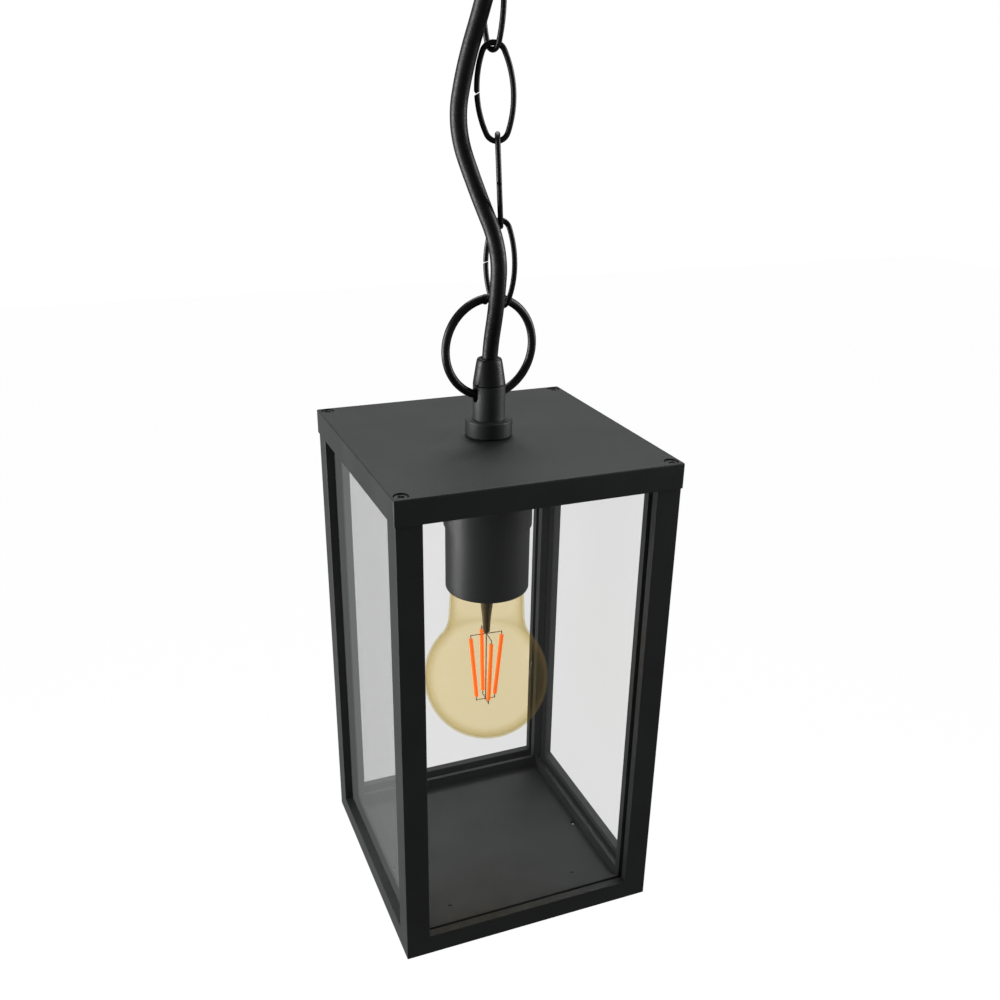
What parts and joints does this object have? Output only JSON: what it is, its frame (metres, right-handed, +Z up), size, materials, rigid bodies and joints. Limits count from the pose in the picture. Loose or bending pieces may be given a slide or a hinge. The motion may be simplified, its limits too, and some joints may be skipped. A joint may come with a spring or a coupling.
{
  "type": "hanging lantern",
  "caption": "Square black metal lantern with clear panes and a filament bulb, hung by a ring and oval-link chain from a ceiling rose, with its cable beside the chain.",
  "frame": {"origin": "centre of the ceiling bracket's upper face, where it meets the ceiling", "axes": "+Z up out of the ceiling face, -Y towards the lantern's front pane, +X to its right"},
  "size_m": [0.125, 0.125, 0.478],
  "materials": {
    "powder_coat": "fine-textured matt powder coat",
    "black_steel": "satin black",
    "screw_steel": "dark plated",
    "zinc_steel": "zinc plated",
    "pane_glass": "clear polished",
    "seal_rubber": "matt",
    "gland_rubber": "satin",
    "cable_sheath": "satin",
    "core_brown": "satin",
    "core_blue": "satin",
    "core_green": "satin, green with a yellow stripe",
    "holder_plastic": "smooth satin",
    "insert_plastic": "satin",
    "grip_plastic": "satin",
    "brass": "satin",
    "bulb_glass": "amber-tinted polished",
    "bulb_metal": "satin",
    "bulb_insulator": "gloss",
    "filament": "orange phosphor coating",
    "circuit_board": "satin"
  },
  "bodies": {
    "ceiling": {"ceiling_bracket": "zinc_steel", "ceiling_rose": "powder_coat", "rose_hook": "black_steel", "hook_lock_nut": "zinc_steel", "rose_collar": "black_steel", "cord_grip": "grip_plastic", "cord_grip_nut": "grip_plastic", "terminal_block": "insert_plastic", "terminal_bars": "brass", "terminal_screws": "screw_steel", "block_screw": "screw_steel", "rose_core_live": "core_brown", "rose_core_neutral": "core_blue", "rose_core_earth": "core_green", "cable": "cable_sheath"},
    "link_1": {"chain_link_1": "black_steel"},
    "link_2": {"chain_link_2": "black_steel"},
    "link_3": {"chain_link_3": "black_steel"},
    "link_4": {"chain_link_4": "black_steel"},
    "ring": {"suspension_ring": "black_steel"},
    "head": {"top_cap": "powder_coat", "cap_seals": "seal_rubber", "gland_collar": "powder_coat", "gland_neck": "powder_coat", "gland_nipple": "zinc_steel", "gland_washer": "zinc_steel", "gland_lock_nut": "zinc_steel", "strain_relief": "gland_rubber", "core_live": "core_brown", "core_neutral": "core_blue", "core_earth": "core_green", "holder_cover": "holder_plastic", "holder_nut": "zinc_steel", "holder_skirt": "holder_plastic", "holder_insert": "insert_plastic", "thread_sleeve": "brass", "centre_contact": "brass", "holder_terminals": "brass", "holder_terminal_screws": "screw_steel", "earth_strap": "zinc_steel"},
    "box": {"post_front_left": "powder_coat", "post_front_right": "powder_coat", "post_back_left": "powder_coat", "post_back_right": "powder_coat", "base_tray": "powder_coat", "base_screws": "screw_steel", "base_seals": "seal_rubber", "pane_front": "pane_glass", "pane_right": "pane_glass", "pane_back": "pane_glass", "pane_left": "pane_glass"},
    "cap_screws": {"cap_screws": "screw_steel"},
    "bulb": {"bulb_glass": "bulb_glass", "bulb_cap": "bulb_metal", "bulb_insulator": "bulb_insulator", "bulb_tip": "bulb_metal", "bulb_stem": "bulb_glass", "bulb_filaments": "filament", "bulb_supports": "bulb_metal", "bulb_driver": "circuit_board"}
  },
  "joints": [
    {"name": "link_1_swing", "type": "hinge", "parent": "ceiling", "child": "link_1", "pos_m": [0, 0, -0.06568], "axis": [-0.9808, -0.1951, 0], "range_deg": [-20, 20], "deforming": ["cable"]},
    {"name": "link_2_swing", "type": "hinge", "parent": "link_1", "child": "link_2", "pos_m": [0, 0, -0.09758], "axis": [0.1951, -0.9808, 0], "range_deg": [-20, 20], "deforming": ["cable"]},
    {"name": "link_3_swing", "type": "hinge", "parent": "link_2", "child": "link_3", "pos_m": [0.0024, 0.0001, -0.12985], "axis": [-0.9288, 0.3706, 0], "range_deg": [-20, 20], "deforming": ["cable"]},
    {"name": "link_4_swing", "type": "hinge", "parent": "link_3", "child": "link_4", "pos_m": [0.0044, 0.00025, -0.16214], "axis": [0.3706, 0.9288, 0], "range_deg": [-20, 20], "deforming": ["cable"]},
    {"name": "ring_swing", "type": "hinge", "parent": "link_4", "child": "ring", "pos_m": [0.00447, 0.00051, -0.19449], "axis": [0.5771, -0.8166, 0], "range_deg": [-20, 20], "deforming": ["cable"]},
    {"name": "head_swing", "type": "hinge", "parent": "ring", "child": "head", "pos_m": [0, 0, -0.2322], "axis": [0.9936, 0.1132, 0], "range_deg": [-15, 15], "deforming": ["cable"]},
    {"name": "box_drop", "type": "slide", "parent": "head", "child": "box", "axis": [0, 0, -1], "range_m": [0, 0.15]},
    {"name": "cap_screws_lift", "type": "slide", "parent": "head", "child": "cap_screws", "axis": [0, 0, 1], "range_m": [0, 0.018]},
    {"name": "bulb_unscrew", "type": "slide", "parent": "head", "child": "bulb", "axis": [0, 0, -1], "range_m": [0, 0.026]}
  ]
}
